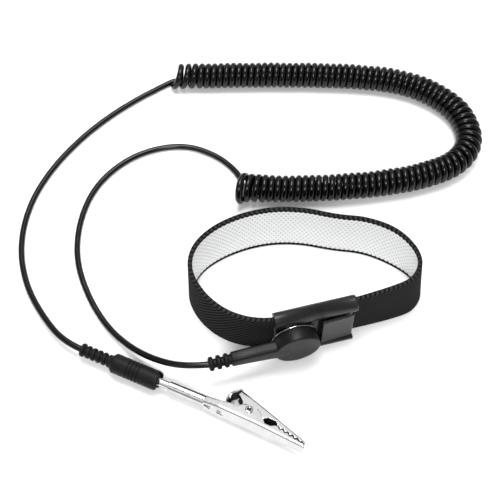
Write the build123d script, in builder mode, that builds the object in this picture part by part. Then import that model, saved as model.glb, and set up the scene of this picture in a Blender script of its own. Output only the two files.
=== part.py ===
"""ESD wrist strap: elastic band with buckle, snap head, curly ground cord, plug and alligator clip.

Frame: origin at the centre of the wrist opening on the table, +X along the buckle,
-Y straight out of the buckle's face, +Z up. Millimetres.
"""
import os
from math import cos, pi, radians, sin, tan

from build123d import *

# ---------------------------------------------------------------- driving sizes
band_width = 19.0
outer_layer = 1.0
inner_layer = 0.6
layer_line_y = -21.9  # the line between the two band layers, inside the buckle

buckle_left = -15.8
buckle_right = 13.9
rail_radius = 2.95
rail_y = -22.7
rail_z = 18.6
front_wall_y = -24.2
front_wall_thick = 1.2
front_wall_right = -0.3
flange_y = -27.0
flange_thick = 1.4
flange_right = 12.4
slot_top = band_width + 0.3
plate_thick = 0.6

snap_x = -9.3
snap_z = 10.2
head_radius = 8.0
head_front = -31.2
head_back = -26.2
arm_y = -28.8
arm_end_x = -32.4
relief_end_x = -40.2

lever_pin_x = 11.0
lever_pin_y = -24.7
lever_pin_radius = 0.75
knuckle_radius = 1.5
lever_tip_x = 0.7

cord_diameter = 2.3
coil_diameter = 10.3
body_gap = 0.3
running_gap = 0.05

plug_heading = -38.5  # degrees from +X, the way the plug points
plug_start = Vector(-81.3, -9.2, 4.2)
housing_radius = 3.5
housing_start = 12.0
housing_end = 30.4
pin_radius = 1.45
barrel_start = 34.2
barrel_end = 48.5
sheet_thick = 0.45
clip_roll = 13.0  # degrees, the clip lies leaning on its thumb tab
pivot_s = 62.9
pivot_t = 1.5

cord_z = cord_diameter / 2
coil_z = coil_diameter / 2

# ---------------------------------------------------------------- cord routes, end to end
head_route = [
    (relief_end_x - body_gap, -28.9, 10.2),
    (-47.3, -27.5, 9.8),
    (-56.0, -22.0, 7.0),
    (-64.3, -13.0, 3.4),
    (-71.2, -1.5, 1.3),
    (-75.8, 13.5, cord_z),
    (-77.2, 30.0, cord_z),
    (-73.2, 46.0, cord_z),
    (-65.0, 60.0, cord_z),
    (-52.0, 69.5, cord_z),
    (-38.0, 72.8, cord_z),
    (-25.0, 70.8, cord_z),
    (-14.5, 62.5, 1.6),
    (-10.4, 53.3, 5.4),
    (-12.5, 44.9, 9.1),
]
coil_route = [
    (-12.0, 42.6, coil_z),
    (6.0, 37.9, coil_z),
    (25.0, 33.8, coil_z),
    (44.0, 31.0, coil_z),
    (61.0, 30.6, coil_z),
    (75.5, 33.6, coil_z),
    (83.5, 42.5, coil_z),
    (84.5, 55.0, coil_z),
    (79.0, 67.0, coil_z),
    (67.0, 78.2, coil_z),
    (48.0, 86.0, coil_z),
    (25.0, 92.6, coil_z),
    (0.0, 98.9, coil_z),
    (-22.0, 103.9, coil_z),
]
plug_route = [
    (-21.5, 104.0, cord_z),
    (-36.0, 102.0, cord_z),
    (-52.0, 94.8, cord_z),
    (-67.0, 84.3, cord_z),
    (-80.5, 72.2, cord_z),
    (-91.0, 57.5, cord_z),
    (-96.8, 40.0, cord_z),
    (-96.8, 23.0, 1.3),
    (-92.6, 8.0, 2.2),
    (-86.8, -4.8, 4.2),
    (plug_start.X, plug_start.Y, plug_start.Z),
]
band_route = [
    (-12.8, layer_line_y),
    (-18.5, layer_line_y),
    (-29.5, -17.0),
    (-37.0, -7.5),
    (-39.8, 4.5),
    (-34.5, 13.8),
    (-23.0, 19.3),
    (-8.5, 20.8),
    (5.0, 17.9),
    (17.5, 11.2),
    (27.0, 7.9),
    (36.2, 0.5),
    (41.8, -9.5),
    (39.3, -17.8),
    (30.8, layer_line_y),
    (2.8, layer_line_y),
]


def corner_radii(points):
    """The largest arc that fits each corner: 0.45 of the shorter run over tan of half the turn."""
    radii = []
    for before, corner, after in zip(points, points[1:], points[2:]):
        run_in = Vector(*corner) - Vector(*before)
        run_out = Vector(*after) - Vector(*corner)
        turn = radians(run_in.get_angle(run_out))
        radii.append(0.45 * min(run_in.length, run_out.length) / tan(turn / 2))
    return radii


def cord_tube(points, diameter):
    """A plain tube along straight runs joined by tangent arcs."""
    with BuildPart() as tube:
        with BuildLine() as path:
            FilletPolyline(*points, radius=corner_radii(points))
        route = path.wires()[0]
        with BuildSketch(Plane(origin=route @ 0, z_dir=route % 0)):
            Circle(diameter / 2)
        sweep(path=route)
    section = pi * diameter**2 / 4
    radii = ", ".join(f"{radius:.1f}" for radius in corner_radii(points))
    print(f"length {route.length:.1f}  volume ratio {tube.part.volume / section / route.length:.4f}")
    print(f"  radii {radii}")
    return tube


def band_layer(thickness, side):
    """One woven layer of the band, standing on its edge."""
    with BuildPart() as layer:
        with BuildSketch():
            with BuildLine():
                FilletPolyline(*band_route, radius=corner_radii([(x, y, 0) for x, y in band_route]))
                offset(amount=thickness, side=side, closed=True)
            make_face()
        extrude(amount=band_width)
    return layer


# ---------------------------------------------------------------- wristband: the band
band_outer_face = band_layer(outer_layer, Side.LEFT)
band_inner_face = band_layer(inner_layer, Side.RIGHT)

# ---------------------------------------------------------------- wristband: the buckle
buckle_length = buckle_right - buckle_left
wall_back_y = front_wall_y + front_wall_thick
slot_back_y = layer_line_y + inner_layer + 0.1
stud_shank_radius = 1.5
side_plane = Plane(origin=(buckle_left, 0, 0), x_dir=(0, 1, 0), z_dir=(1, 0, 0))

with BuildPart() as buckle_body:
    with BuildSketch(side_plane):  # round top rail
        with Locations((rail_y, rail_z)):
            Circle(rail_radius)
    extrude(amount=buckle_length)
    with BuildSketch(side_plane):  # front wall, running up into the rail
        with Locations((front_wall_y, 0)):
            Rectangle(front_wall_thick, rail_z, align=(Align.MIN, Align.MIN))
    extrude(amount=front_wall_right - buckle_left)
    with BuildSketch(side_plane):  # foot flange along the bottom
        with Locations((flange_y, 0)):
            Rectangle(wall_back_y - flange_y, flange_thick, align=(Align.MIN, Align.MIN))
    extrude(amount=flange_right - buckle_left)
    with BuildSketch(side_plane):  # slot for the band, right through
        with Locations((wall_back_y, -1)):
            Rectangle(slot_back_y - wall_back_y, slot_top + 1, align=(Align.MIN, Align.MIN))
    extrude(amount=buckle_length, mode=Mode.SUBTRACT)
    rail_ends = buckle_body.edges().filter_by(GeomType.CIRCLE).group_by(Axis.Z)[-1]
    fillet(rail_ends, 0.5)
    with BuildSketch(Plane.XZ.offset(-front_wall_y)):  # hole for the snap stud's shank
        with Locations((snap_x, snap_z)):
            Circle(stud_shank_radius + running_gap)
    extrude(amount=-2 * front_wall_thick, mode=Mode.SUBTRACT)
    with BuildSketch(Plane.XY):  # hole for the lever's pin, blind in the rail
        with Locations((lever_pin_x, lever_pin_y)):
            Circle(lever_pin_radius + running_gap)
    extrude(amount=rail_z - 0.9, mode=Mode.SUBTRACT)

# skin-side plate, held by the stud and two rivets
plate_front_y = layer_line_y + inner_layer + 0.1
plate_bottom = 1.6
plate_top = 15.2
rivet_x = -3.6
rivet_radius = 0.9
rivet_heights = (4.2, 12.8)
with BuildPart() as contact_plate:
    with BuildSketch(Plane.XZ.offset(-plate_front_y)):
        with Locations(((buckle_left + buckle_right) / 2, (plate_bottom + plate_top) / 2)):
            RectangleRounded(buckle_length - 2.0, plate_top - plate_bottom, 1.5)
        with Locations((snap_x, snap_z)):
            Circle(stud_shank_radius + running_gap, mode=Mode.SUBTRACT)
        with Locations(*[(rivet_x, height) for height in rivet_heights]):
            Circle(rivet_radius + running_gap, mode=Mode.SUBTRACT)
    extrude(amount=-plate_thick)

# two rivets from the plate to the front wall's back
with BuildPart() as plate_rivets:
    for height in rivet_heights:
        with BuildSketch(Plane.XZ.offset(-wall_back_y)):
            with Locations((rivet_x, height)):
                Circle(rivet_radius)
        extrude(amount=-(plate_front_y + plate_thick - wall_back_y))
        with BuildSketch(Plane.XZ.offset(-(plate_front_y + plate_thick))):
            with Locations((rivet_x, height)):
                Circle(rivet_radius + 0.7)
        extrude(amount=-0.35)

# snap stud: flange against the wall, neck and ball outside, shank through to the eyelet
stud_axis = Axis((snap_x, 0, snap_z), (0, 1, 0))
stud_profile_plane = Plane(origin=(snap_x, 0, snap_z), x_dir=(1, 0, 0), z_dir=(0, 0, 1))
ball_radius = 2.0
stud_tip_y = -27.5
shank_end_y = plate_front_y + plate_thick
with BuildPart() as snap_stud:
    with BuildSketch(stud_profile_plane):
        with BuildLine():
            Polyline(
                (0, shank_end_y),
                (stud_shank_radius, shank_end_y),
                (stud_shank_radius, front_wall_y),
                (3.8, front_wall_y),
                (3.8, front_wall_y - 0.4),
                (1.55, front_wall_y - 0.4),
                (1.55, -26.2),
                (ball_radius, -26.7),
                (ball_radius, -27.1),
                (1.5, stud_tip_y),
                (0, stud_tip_y),
                close=True,
            )
        make_face()
    revolve(axis=stud_axis)

with BuildPart() as stud_eyelet:
    with BuildSketch(Plane.XZ.offset(-shank_end_y)):
        with Locations((snap_x, snap_z)):
            Circle(3.6)
    extrude(amount=-0.45)
    fillet(stud_eyelet.edges().sort_by(Axis.Y)[-1], 0.3)

# the lever's pin, from the flange up into the rail
with BuildPart() as lever_pin:
    with BuildSketch(Plane.XY.offset(0.2)):
        with Locations((lever_pin_x, lever_pin_y)):
            Circle(lever_pin_radius)
    extrude(amount=rail_z - 1.3)

# ---------------------------------------------------------------- lock lever
lever_bottom = flange_thick + body_gap
knuckle_top = rail_z - rail_radius - body_gap
tab_top = 16.0
tab_thick = 1.2
tab_face_y = lever_pin_y - knuckle_radius
with BuildPart() as lock_lever:
    with BuildSketch(Plane.XY.offset(lever_bottom)):
        with Locations((lever_pin_x, lever_pin_y)):
            Circle(knuckle_radius)
    extrude(amount=knuckle_top - lever_bottom)
    with BuildSketch(Plane.XY.offset(lever_bottom)):  # the tab stands a little proud at its free end
        with BuildLine():
            Polyline(
                (lever_pin_x, tab_face_y),
                (lever_tip_x, tab_face_y - 0.5),
                (lever_tip_x, tab_face_y - 0.5 + tab_thick),
                (lever_pin_x, tab_face_y + tab_thick),
                close=True,
            )
        make_face()
    extrude(amount=tab_top - lever_bottom)
    fillet(lock_lever.edges().filter_by(Axis.Z).group_by(Axis.X)[0], 0.4)
    with BuildSketch(Plane.XY):
        with Locations((lever_pin_x, lever_pin_y)):
            Circle(lever_pin_radius + running_gap)
    extrude(amount=band_width, mode=Mode.SUBTRACT)

# ---------------------------------------------------------------- snap head
arm_root_height = 6.6
arm_end_height = 5.0
arm_depth = 4.4
head_wall = 1.1
pocket_radius = head_radius - head_wall
pocket_back = head_back - 1.6
cap_thick = 1.0
socket_radius = 4.2
resistor_x = -24.0
resistor_length = 6.3
resistor_radius = 1.15
core_y = arm_y
front_plane = Plane.XZ.offset(-head_front)

with BuildPart() as head_shell:
    with BuildSketch(front_plane):
        with Locations((snap_x, snap_z)):
            Circle(head_radius)
    extrude(amount=-(head_back - head_front))
    fillet(head_shell.edges().filter_by(GeomType.CIRCLE).group_by(Axis.Y)[0], 0.5)
    with BuildSketch(Plane(origin=(snap_x, core_y, snap_z), x_dir=(0, 1, 0), z_dir=(-1, 0, 0))):
        RectangleRounded(arm_depth, arm_root_height, 1.2)
    with BuildSketch(Plane(origin=(arm_end_x, core_y, snap_z), x_dir=(0, 1, 0), z_dir=(-1, 0, 0))):
        RectangleRounded(arm_depth - 0.4, arm_end_height, 1.2)
    loft()
    with BuildSketch(front_plane):  # seat of the front cap
        with Locations((snap_x, snap_z)):
            Circle(pocket_radius)
    extrude(amount=-cap_thick, mode=Mode.SUBTRACT)
    with BuildSketch(Plane.XZ.offset(-pocket_back)):  # pocket for the socket, open at the back
        with Locations((snap_x, snap_z)):
            Circle(socket_radius + running_gap)
    extrude(amount=-3, mode=Mode.SUBTRACT)
    with BuildSketch(Plane(origin=(snap_x - 3, core_y - 0.2, snap_z), x_dir=(0, 1, 0), z_dir=(-1, 0, 0))):
        Circle(resistor_radius + 0.3)  # channel along the arm for the resistor and the core
    extrude(amount=snap_x - 3 - arm_end_x, mode=Mode.SUBTRACT)

with BuildPart() as head_cap:
    with BuildSketch(front_plane):
        with Locations((snap_x, snap_z)):
            Circle(pocket_radius - running_gap)
    extrude(amount=-(cap_thick - running_gap))
    fillet(head_cap.edges().filter_by(GeomType.CIRCLE).group_by(Axis.Y)[0], 0.25)

# metal socket cup that grips the stud's ball
socket_bore = ball_radius + running_gap
with BuildPart() as snap_socket:
    with BuildSketch(Plane.XZ.offset(-pocket_back)):
        with Locations((snap_x, snap_z)):
            Circle(socket_radius)
    extrude(amount=-(head_back - pocket_back))
    with BuildSketch(Plane.XZ.offset(-pocket_back)):
        with Locations((snap_x, snap_z)):
            Circle(socket_bore)
    extrude(amount=-3, mode=Mode.SUBTRACT)
    with BuildSketch(Plane.XZ.offset(-(pocket_back + 0.5))):
        with Locations((snap_x, snap_z)):
            Circle(socket_bore + 0.9)
    extrude(amount=-0.45, mode=Mode.SUBTRACT)

# round wire ring in the socket's groove
with BuildPart() as socket_ring_spring:
    with BuildSketch(Plane(origin=(snap_x, 0, snap_z), x_dir=(1, 0, 0), z_dir=(0, 0, 1))):
        with Locations((socket_bore + 0.3, pocket_back + 0.725)):
            Circle(0.2)
    revolve(axis=stud_axis)

# thin metal washer on the head's back, its rim just proud of the plastic
washer_radius = 8.2
washer_thick = 0.3
with BuildPart() as head_back_washer:
    with BuildSketch(Plane.XZ.offset(-head_back)):
        with Locations((snap_x, snap_z)):
            Circle(washer_radius)
            Circle(socket_radius - 1.0, mode=Mode.SUBTRACT)
    extrude(amount=-washer_thick)

# one-megohm safety resistor in the arm
channel_plane = Plane(origin=(resistor_x, core_y - 0.2, snap_z), x_dir=(0, 1, 0), z_dir=(-1, 0, 0))
with BuildPart() as resistor_body:
    with BuildSketch(channel_plane.offset(-resistor_length / 2)):
        Circle(resistor_radius)
    extrude(amount=resistor_length)
    fillet(resistor_body.edges(), 0.4)

lead_wire_radius = 0.3
crimp_lead = 3.9
with BuildPart() as resistor_leads:
    for side, reach in ((1, crimp_lead), (-1, 7.5)):
        with BuildSketch(channel_plane.offset(side * resistor_length / 2)):
            Circle(lead_wire_radius)
        extrude(amount=side * reach)

with BuildPart() as head_crimp:
    with BuildSketch(channel_plane.offset(resistor_length / 2 + crimp_lead)):
        Circle(0.9)
    extrude(amount=1.0)

# ribbed sleeve on the head's end of the cord
rib_radius = 2.5
neck_radius = 1.65
rib_width = 1.6
rib_pitch = 2.65
relief_axis = Axis((0, core_y, snap_z), (1, 0, 0))
relief_plane = Plane(origin=(arm_end_x, core_y, snap_z), x_dir=(-1, 0, 0), z_dir=(0, 0, 1))
relief_length = arm_end_x - relief_end_x
with BuildPart() as head_strain_relief:
    with BuildSketch(relief_plane):
        Rectangle(relief_length, neck_radius, align=(Align.MIN, Align.MAX))
    revolve(axis=relief_axis)
    for rib in range(3):
        with BuildSketch(relief_plane):
            with Locations((relief_length - rib * rib_pitch, 0)):
                Rectangle(rib_width, rib_radius, align=(Align.MAX, Align.MAX))
        revolve(axis=relief_axis)
    fillet(head_strain_relief.edges().filter_by(GeomType.CIRCLE).filter_by(
        lambda edge: edge.radius > neck_radius + 0.1), 0.5)

# ---------------------------------------------------------------- lead: the cords
head_lead = cord_tube(head_route, cord_diameter)
coil_cord = cord_tube(coil_route, coil_diameter)
plug_lead = cord_tube(plug_route, cord_diameter)

# ---------------------------------------------------------------- lead: the plug
heading = radians(plug_heading)
along = Vector(cos(heading), sin(heading), 0)
across = Vector(-sin(heading), cos(heading), 0)
plug_side = Plane(origin=plug_start, x_dir=along, z_dir=(0, 0, 1))
plug_axis = Axis(plug_start, along)
plug_rib_pitch = 2.1
with BuildPart() as plug_strain_relief:
    with BuildSketch(plug_side):
        Rectangle(housing_start, 1.7, align=(Align.MIN, Align.MIN))
    revolve(axis=plug_axis)
    for rib in range(6):
        radius = 2.45 if rib == 0 else 2.15 + 0.06 * rib
        with BuildSketch(plug_side):
            with Locations((rib * plug_rib_pitch, 0)):
                Rectangle(1.4, radius, align=(Align.MIN, Align.MIN))
        revolve(axis=plug_axis)
    fillet(plug_strain_relief.edges().filter_by(GeomType.CIRCLE).filter_by(
        lambda edge: edge.radius > 2.0), 0.4)

groove_start = 18.6
groove_pitch = 1.35
groove_depth = 0.35
mouth_radius = 2.5
mouth_depth = 4.0
pin_start = 16.0
pin_end = 47.0
with BuildPart() as plug_housing:
    with BuildSketch(plug_side):
        with Locations((housing_start, 0)):
            Rectangle(housing_end - housing_start, housing_radius, align=(Align.MIN, Align.MIN))
    revolve(axis=plug_axis)
    rims = plug_housing.edges().filter_by(GeomType.CIRCLE).sort_by(plug_axis)
    chamfer(rims[0], 1.0)
    fillet(plug_housing.edges().filter_by(GeomType.CIRCLE).sort_by(plug_axis)[-1], 0.4)
    for groove in range(4):
        with BuildSketch(plug_side):
            with Locations((groove_start + groove * groove_pitch, housing_radius - groove_depth)):
                Rectangle(0.6, 1.0, align=(Align.MIN, Align.MIN))
        revolve(axis=plug_axis, mode=Mode.SUBTRACT)
    with BuildSketch(plug_side):  # stepped bore: crimp chamber, pin seat, wide mouth
        Rectangle(pin_start, 1.5, align=(Align.MIN, Align.MIN))
        Rectangle(housing_end + 1, pin_radius + running_gap, align=(Align.MIN, Align.MIN))
        with Locations((housing_end - mouth_depth, 0)):
            Rectangle(mouth_depth + 1, mouth_radius, align=(Align.MIN, Align.MIN))
    revolve(axis=plug_axis, mode=Mode.SUBTRACT)
    for turn in (35, 125):  # scalloped mouth
        bite_way = Vector(0, 0, 1) * cos(radians(turn)) + across * sin(radians(turn))
        with BuildSketch(Plane(origin=plug_start + along * (housing_end + 0.3), x_dir=along, z_dir=bite_way)):
            Circle(1.7)
        extrude(amount=5, both=True, mode=Mode.SUBTRACT)

core_radius = 0.85
cage_start = 36.5
cage_end = 44.5
with BuildPart() as banana_pin:
    with BuildSketch(plug_side):
        with Locations((pin_start, 0)):
            Rectangle(pin_end - pin_start, pin_radius, align=(Align.MIN, Align.MIN))
        with Locations((cage_start, core_radius)):
            Rectangle(cage_end - cage_start, 2, align=(Align.MIN, Align.MIN), mode=Mode.SUBTRACT)
    revolve(axis=plug_axis)
    chamfer(banana_pin.edges().filter_by(GeomType.CIRCLE).sort_by(plug_axis)[-1], 0.4)

with BuildPart() as pin_cage_spring:
    with BuildSketch(plug_side):
        with Locations((cage_start + 0.1, core_radius + running_gap)):
            Rectangle(cage_end - cage_start - 0.2, 0.45, align=(Align.MIN, Align.MIN))
    revolve(axis=plug_axis)
    for turn in (0, 90):
        slot_way = Vector(0, 0, 1) * cos(radians(turn)) + across * sin(radians(turn))
        middle = plug_start + along * (cage_start + cage_end) / 2
        with BuildSketch(Plane(origin=middle, x_dir=along, z_dir=slot_way)):
            SlotOverall(cage_end - cage_start - 2, 0.6)
        extrude(amount=3, both=True, mode=Mode.SUBTRACT)

with BuildPart() as plug_crimp:
    with BuildSketch(plug_side):
        with Locations((housing_start + 0.1, 0)):
            Rectangle(pin_start - housing_start - 0.1, 1.4, align=(Align.MIN, Align.MIN))
    revolve(axis=plug_axis)

# ---------------------------------------------------------------- alligator clip
clip_up = Vector(0, 0, 1) * cos(radians(clip_roll)) + across * sin(radians(clip_roll))
clip_out = across * cos(radians(clip_roll)) - Vector(0, 0, 1) * sin(radians(clip_roll))
clip_side = Plane(origin=plug_start, x_dir=along, z_dir=clip_up)
barrel_radius = pin_radius + running_gap + sheet_thick
channel_start = 47.5
jaw_tip = 83.2
web_start_t = -1.95
web_tip_t = -3.0
tooth_count = 5
teeth_start = (74.0, 0.1)
teeth_end = (82.4, -1.5)
tooth_height = 0.75
jaw_gap = 0.35
ear_half_width = 3.1
tip_half_width = 1.9
upper_half_width = 2.3
back_start = (57.2, 8.7)
back_end = (83.2, -0.15)
rivet_shank = 0.95
rivet_head = 1.35


def on_clip(s, t):
    """A point of the clip's side view, in the part's frame."""
    return plug_start + along * s + clip_out * t


def teeth(lift):
    """The zigzag of one jaw's teeth, from the tip back to the throat."""
    points = []
    step_s = (teeth_end[0] - teeth_start[0]) / tooth_count
    step_t = (teeth_end[1] - teeth_start[1]) / tooth_count
    for tooth in range(tooth_count, 0, -1):
        s = teeth_start[0] + tooth * step_s
        t = teeth_start[1] + tooth * step_t + lift
        points.append((s, t))
        points.append((s - step_s / 2, t - step_t / 2 - tooth_height))
    points.append((teeth_start[0], teeth_start[1] + lift))
    return points


def sheet_plane(start, end, inward):
    """A plane on a jaw's spine: x along the spine, z towards the jaw's inside."""
    origin = on_clip(*start)
    spine = on_clip(*end) - origin
    normal = spine.cross(clip_up) * inward
    return Plane(origin=origin, x_dir=spine, z_dir=normal)


def plan_outline(stations, shrink):
    """The jaw seen from its spine: half widths at stations along it, mirrored."""
    upper_edge = [(s, width - shrink) for s, width in stations]
    lower_edge = [(s, shrink - width) for s, width in reversed(stations)]
    return upper_edge + lower_edge


web_plane = sheet_plane((channel_start, web_start_t), (jaw_tip, web_tip_t), -1)
lower_stations = [(-1.0, 1.95), (5.5, ear_half_width), (18.5, ear_half_width), (37.0, tip_half_width)]
with BuildPart() as clip_lower_jaw:
    with BuildSketch(clip_side):
        with BuildLine():
            outline = Polyline(
                (57.5, 1.9),
                (53.0, 0.6),
                (channel_start, 0.6),
                (channel_start, web_start_t),
                (jaw_tip, web_tip_t),
                (jaw_tip, teeth_end[1] - 0.3),
                *teeth(0),
                (73.0, 0.1),
                (69.6, -0.8),
                (68.6, 0.3),
            )
            ThreePointArc(outline @ 1, (64.0, 3.6), outline @ 0)
        make_face()
    extrude(amount=ear_half_width, both=True)
    with BuildSketch(web_plane):
        Polygon(*plan_outline(lower_stations, 0), align=None)
    extrude(amount=15, both=True, mode=Mode.INTERSECT)
    with BuildSketch(web_plane.offset(sheet_thick)):
        Polygon(*plan_outline([(-3.0, 1.95)] + lower_stations[1:], sheet_thick), align=None)
    extrude(amount=15, mode=Mode.SUBTRACT)
    with BuildSketch(plug_side):  # rolled barrel
        with Locations((barrel_start, barrel_radius - sheet_thick)):
            Rectangle(barrel_end - barrel_start, sheet_thick, align=(Align.MIN, Align.MIN))
    revolve(axis=plug_axis)
    with BuildSketch(clip_side):  # keep the barrel's inside and the channel's throat clear
        with Locations((barrel_start, 0)):
            Rectangle(barrel_end + 3 - barrel_start, pin_radius + running_gap, align=(Align.MIN, Align.MIN))
    revolve(axis=plug_axis, mode=Mode.SUBTRACT)
    seam_way = clip_up * cos(radians(50)) - clip_out * sin(radians(50))
    with BuildSketch(Plane(origin=on_clip(barrel_start - 1, 0), x_dir=along, z_dir=seam_way)):
        Rectangle(barrel_end - barrel_start, 0.5, align=(Align.MIN, Align.CENTER))
    extrude(amount=4, mode=Mode.SUBTRACT)
    with BuildSketch(clip_side):  # ear holes
        with Locations((pivot_s, pivot_t)):
            Circle(rivet_shank + running_gap)
    extrude(amount=ear_half_width + 1, both=True, mode=Mode.SUBTRACT)

spine_plane = sheet_plane(back_start, back_end, 1)
spine_length = (on_clip(*back_end) - on_clip(*back_start)).length
upper_stations = [
    (-4.0, 2.15),
    (3.0, upper_half_width),
    (12.0, upper_half_width),
    (spine_length + 1, tip_half_width),
]
with BuildPart() as clip_upper_jaw:
    with BuildSketch(clip_side):
        with BuildLine():
            outline = Polyline(
                (60.6, 0.8),
                (59.6, 4.2),
                (57.6, 6.2),
                back_start,
                back_end,
                (jaw_tip, teeth_end[1] - 0.3 + jaw_gap),
                *teeth(jaw_gap),
                (73.2, 1.9),
                (69.6, 1.9),
                (66.0, 0.2),
            )
            ThreePointArc(outline @ 1, (62.9, -0.7), outline @ 0)
        make_face()
    extrude(amount=upper_half_width, both=True)
    with BuildSketch(spine_plane):
        Polygon(*plan_outline(upper_stations, 0), align=None)
    extrude(amount=15, both=True, mode=Mode.INTERSECT)
    with BuildSketch(spine_plane.offset(sheet_thick)):
        Polygon(*plan_outline(upper_stations, sheet_thick), align=None)
    extrude(amount=15, mode=Mode.SUBTRACT)
    with BuildSketch(clip_side):  # thumb tab, curling over the tail
        with BuildLine():
            ThreePointArc((57.6, 8.55), (54.4, 7.7), (52.4, 5.4))
            offset(amount=sheet_thick, side=Side.LEFT, closed=True)
        make_face()
    extrude(amount=2.15, both=True)
    with BuildSketch(clip_side):
        with Locations((pivot_s, pivot_t)):
            Circle(rivet_shank + running_gap)
    extrude(amount=ear_half_width, both=True, mode=Mode.SUBTRACT)

pivot_point = on_clip(pivot_s, pivot_t)
pivot_plane = Plane(origin=pivot_point, x_dir=along, z_dir=clip_up)
with BuildPart() as clip_pivot_rivet:
    with BuildSketch(pivot_plane):
        Circle(rivet_shank)
    extrude(amount=ear_half_width, both=True)
    for side in (1, -1):
        with BuildSketch(pivot_plane.offset(side * ear_half_width)):
            Circle(rivet_head)
        extrude(amount=side * 0.35)
    with BuildSketch(pivot_plane):
        Circle(0.5)
    extrude(amount=ear_half_width + 1, both=True, mode=Mode.SUBTRACT)

# torsion spring round the rivet, one leg on the lower jaw's web
spring_half_length = 1.5
with BuildPart() as clip_spring:
    with BuildSketch(pivot_plane):
        Circle(1.6)
        Circle(1.05, mode=Mode.SUBTRACT)
    extrude(amount=spring_half_length, both=True)
    with BuildSketch(clip_side.offset(spring_half_length - 0.6)):
        with BuildLine():
            Polyline((61.6, 1.0), (55.5, -1.0), (55.5, -1.5), (62.0, 0.3), close=True)
        make_face()
    extrude(amount=0.5)

# ---------------------------------------------------------------- write the pieces
pieces = {
    "band_outer_face": band_outer_face,
    "band_inner_face": band_inner_face,
    "buckle_body": buckle_body,
    "contact_plate": contact_plate,
    "plate_rivets": plate_rivets,
    "snap_stud": snap_stud,
    "stud_eyelet": stud_eyelet,
    "lever_pin": lever_pin,
    "lock_lever": lock_lever,
    "head_shell": head_shell,
    "head_cap": head_cap,
    "snap_socket": snap_socket,
    "socket_ring_spring": socket_ring_spring,
    "head_back_washer": head_back_washer,
    "resistor_body": resistor_body,
    "resistor_leads": resistor_leads,
    "head_crimp": head_crimp,
    "head_strain_relief": head_strain_relief,
    "head_lead": head_lead,
    "coil_cord": coil_cord,
    "plug_lead": plug_lead,
    "plug_strain_relief": plug_strain_relief,
    "plug_housing": plug_housing,
    "plug_crimp": plug_crimp,
    "banana_pin": banana_pin,
    "pin_cage_spring": pin_cage_spring,
    "clip_lower_jaw": clip_lower_jaw,
    "clip_upper_jaw": clip_upper_jaw,
    "clip_pivot_rivet": clip_pivot_rivet,
    "clip_spring": clip_spring,
}
os.makedirs("parts", exist_ok=True)
for label, piece in pieces.items():
    piece.part.label = label
    export_step(piece.part, f"parts/{label}.step")
print("clip hinge point", pivot_point, "axis", clip_up)
print("plug axis", along)
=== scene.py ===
"""ESD wrist strap: elastic band, lever buckle, snap head, curly ground cord, pin plug and clip.

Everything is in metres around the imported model: +Z up, the origin in the middle of the wrist
opening on the table, -Y straight out of the buckle. Outlines of small parts are in millimetres
and pass through mm().
"""
from bisect import bisect_right
from math import cos, exp, floor, pi, radians, sin, sqrt, tau

import bmesh
import bpy
from bpy.props import FloatProperty, FloatVectorProperty, IntProperty, PointerProperty
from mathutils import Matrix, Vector


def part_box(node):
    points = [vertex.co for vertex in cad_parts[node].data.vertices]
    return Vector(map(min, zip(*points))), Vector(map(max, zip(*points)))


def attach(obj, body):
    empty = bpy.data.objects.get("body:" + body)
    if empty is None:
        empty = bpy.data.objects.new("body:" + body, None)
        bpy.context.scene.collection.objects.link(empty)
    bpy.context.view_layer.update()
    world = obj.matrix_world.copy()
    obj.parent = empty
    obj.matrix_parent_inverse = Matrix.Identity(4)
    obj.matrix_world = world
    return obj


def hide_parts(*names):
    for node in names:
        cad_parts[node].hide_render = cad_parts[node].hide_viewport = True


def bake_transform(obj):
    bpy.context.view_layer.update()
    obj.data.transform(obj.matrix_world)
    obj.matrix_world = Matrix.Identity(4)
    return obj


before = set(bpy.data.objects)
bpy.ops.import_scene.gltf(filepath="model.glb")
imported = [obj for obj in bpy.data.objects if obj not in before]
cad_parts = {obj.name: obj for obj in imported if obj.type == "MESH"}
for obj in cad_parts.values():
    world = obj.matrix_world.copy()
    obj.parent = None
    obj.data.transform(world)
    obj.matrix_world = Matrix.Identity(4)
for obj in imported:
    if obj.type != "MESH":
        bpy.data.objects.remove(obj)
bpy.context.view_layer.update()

bl_info = {
    "name": "ESD wrist strap",
    "version": (1, 0, 0),
    "blender": (4, 5, 0),
    "location": "3D View > Sidebar > Wrist strap",
    "description": "Builds an ESD wrist strap with its buckle, curly cord, plug and clip",
    "category": "Object",
}

# ---- routes, in metres
HEAD_ROUTE = [
    (-0.0402, -0.0288, 0.0102),
    (-0.0473, -0.0275, 0.0098),
    (-0.0560, -0.0220, 0.0070),
    (-0.0643, -0.0130, 0.0034),
    (-0.0712, -0.0015, 0.0013),
    (-0.0758, 0.0135, 0.00115),
    (-0.0772, 0.0300, 0.00115),
    (-0.0732, 0.0460, 0.00115),
    (-0.0650, 0.0600, 0.00115),
    (-0.0520, 0.0695, 0.00115),
    (-0.0380, 0.0728, 0.00115),
    (-0.0250, 0.0708, 0.00115),
    (-0.0150, 0.0628, 0.00115),
    (-0.0098, 0.0540, 0.00115),
    (-0.0086, 0.0482, 0.00115),
]
COIL_ROUTE = [
    (-0.0107, 0.0427, 0.00515),
    (0.0060, 0.0379, 0.00515),
    (0.0250, 0.0338, 0.00515),
    (0.0440, 0.0310, 0.00515),
    (0.0610, 0.0306, 0.00515),
    (0.0755, 0.0336, 0.00515),
    (0.0835, 0.0425, 0.00515),
    (0.0845, 0.0550, 0.00515),
    (0.0790, 0.0670, 0.00515),
    (0.0670, 0.0782, 0.00515),
    (0.0480, 0.0860, 0.00515),
    (0.0250, 0.0926, 0.00515),
    (0.0000, 0.0989, 0.00515),
    (-0.0220, 0.1039, 0.00515),
]
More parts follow.
